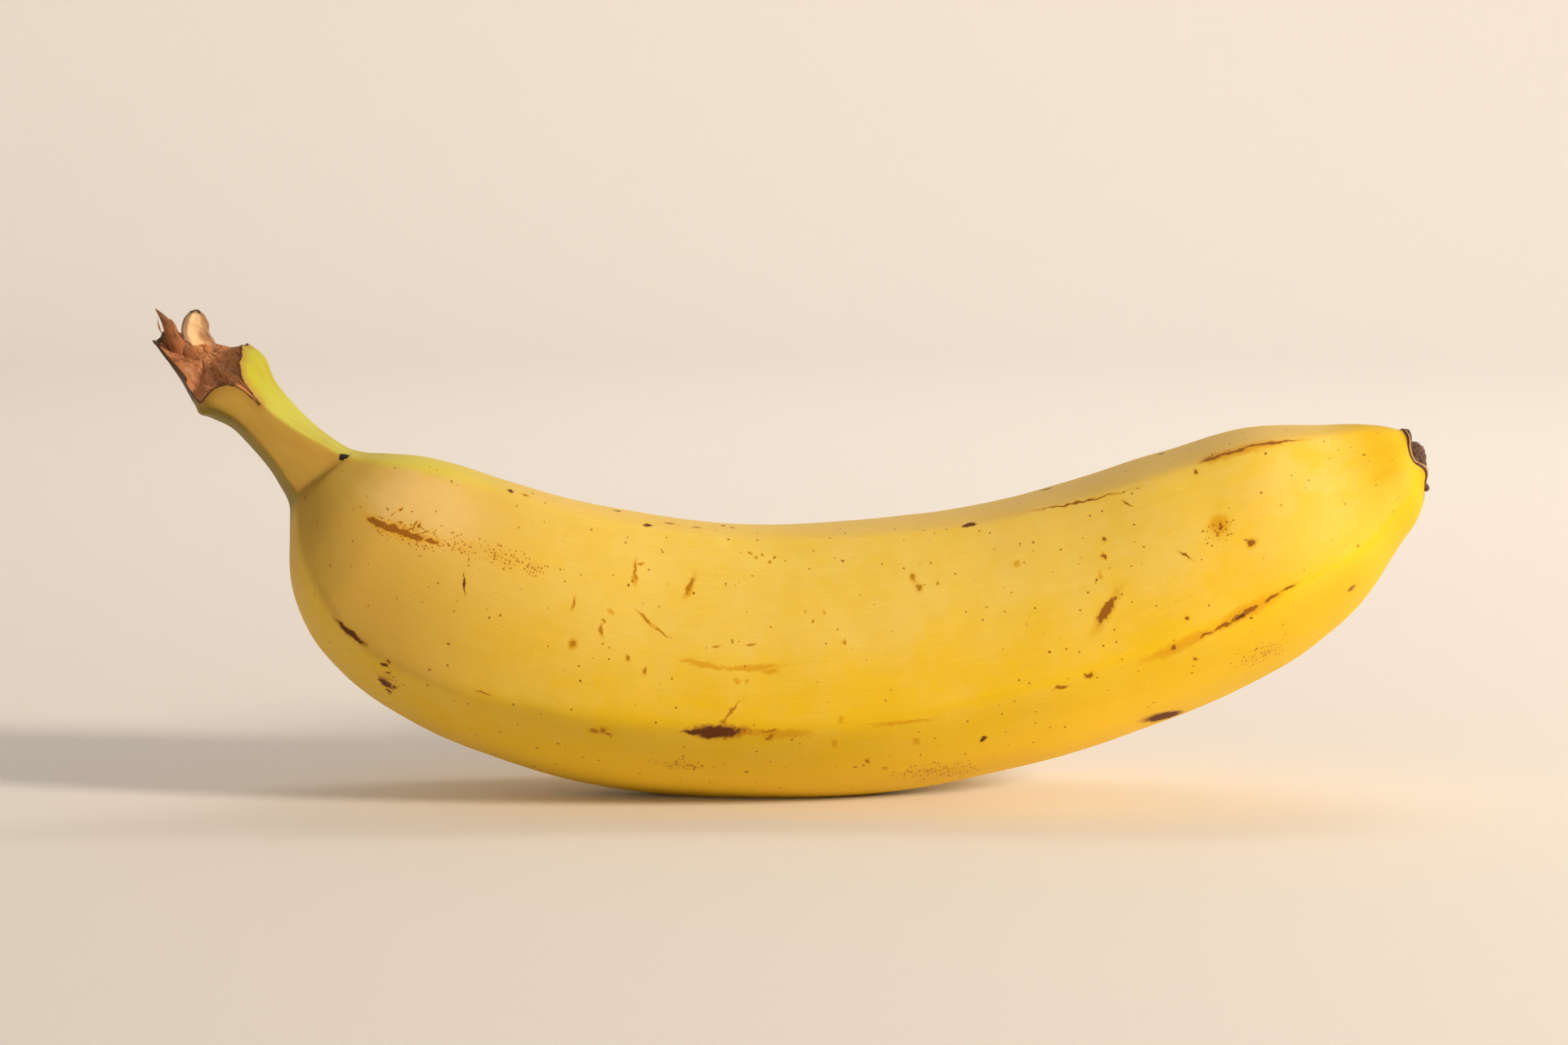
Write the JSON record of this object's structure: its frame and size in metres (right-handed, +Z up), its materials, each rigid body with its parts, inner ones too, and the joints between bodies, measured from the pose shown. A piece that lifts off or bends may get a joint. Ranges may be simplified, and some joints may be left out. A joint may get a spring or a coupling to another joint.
{
  "type": "whole banana",
  "caption": "Ripe whole banana in its skin, curved and faceted, with a torn stem and a dry blossom end, lying on its outer curve.",
  "frame": {"origin": "centre of the whole fruit's length and width, on the level it rests on", "axes": "+X from the stem to the blossom end, +Y across the fruit, away from the side seen in the picture, +Z up"},
  "size_m": [0.1804, 0.0378, 0.0688],
  "materials": {
    "skin": "satin ripe yellow skin with fine brown flecks and bruises",
    "torn_stem": "dry, fibrous red-brown torn tissue",
    "dry_stub": "matte, crumbly grey-brown dried blossom remains"
  },
  "bodies": {
    "root": {"banana": "skin"}
  },
  "joints": []
}
